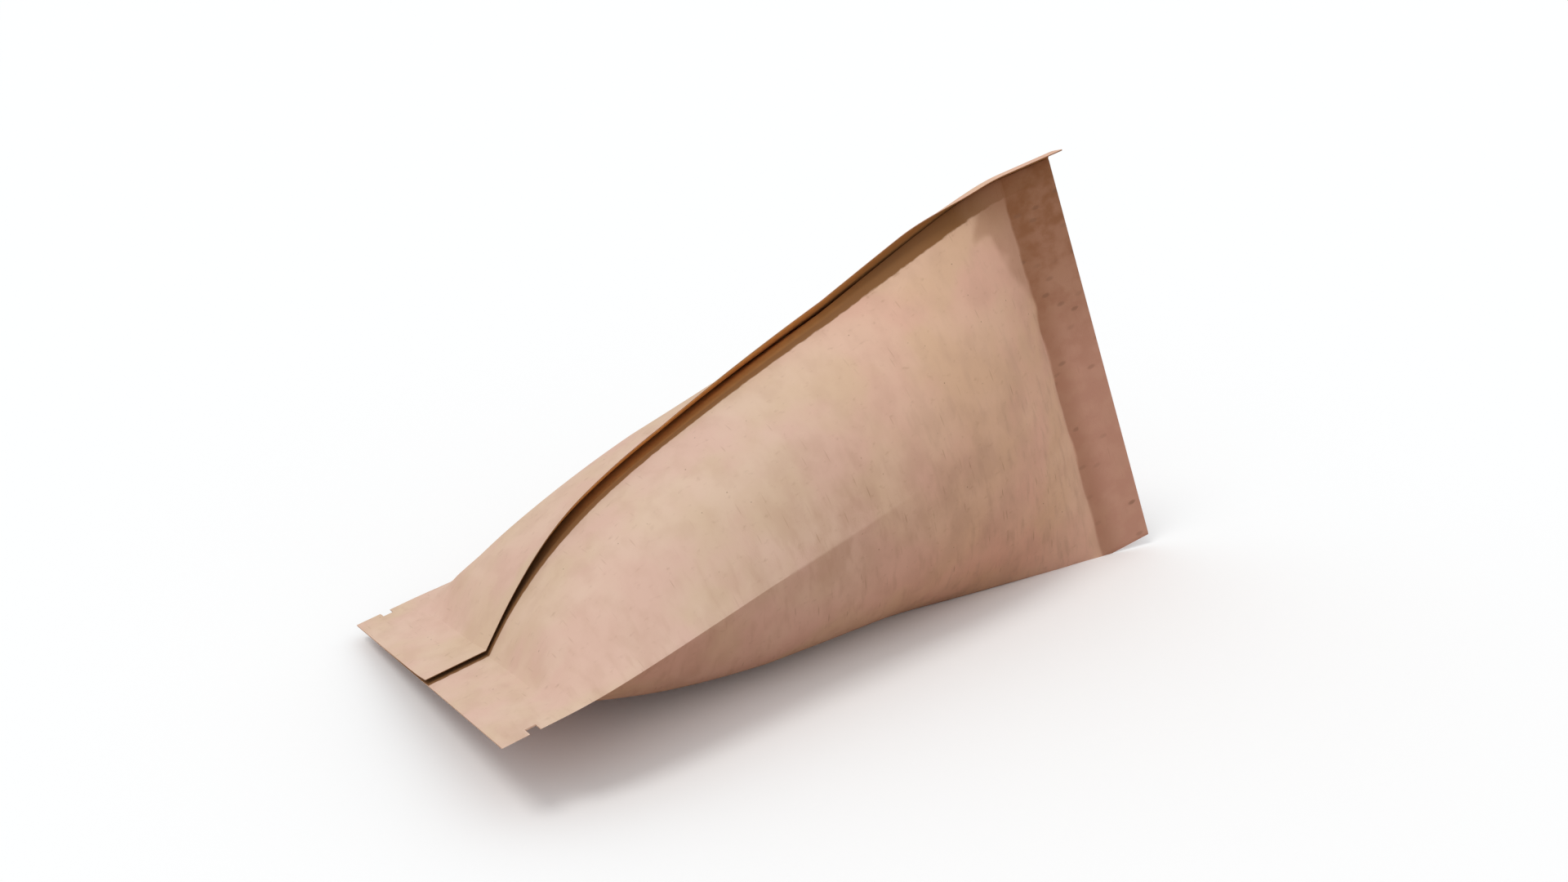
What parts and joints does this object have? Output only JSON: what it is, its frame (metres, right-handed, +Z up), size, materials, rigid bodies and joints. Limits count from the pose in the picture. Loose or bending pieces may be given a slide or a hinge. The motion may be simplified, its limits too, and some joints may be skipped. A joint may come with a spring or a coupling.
{
  "type": "pyramid paper bag",
  "caption": "sealed pyramid-shaped kraft paper snack bag with crossed end seals, tear notches and a folded back seam",
  "frame": {"origin": "bottom centre of the bounding box, on the surface the bag lies on", "axes": "+Z up as the bag lies on its belly, +X along the bag from the flat seal with the tear notches to the standing seal, +Y to the left of that"},
  "size_m": [0.1712, 0.0898, 0.0917],
  "materials": {
    "kraft_paper": "matt"
  },
  "bodies": {
    "root": {"pyramid_bag": "kraft_paper"}
  },
  "joints": []
}
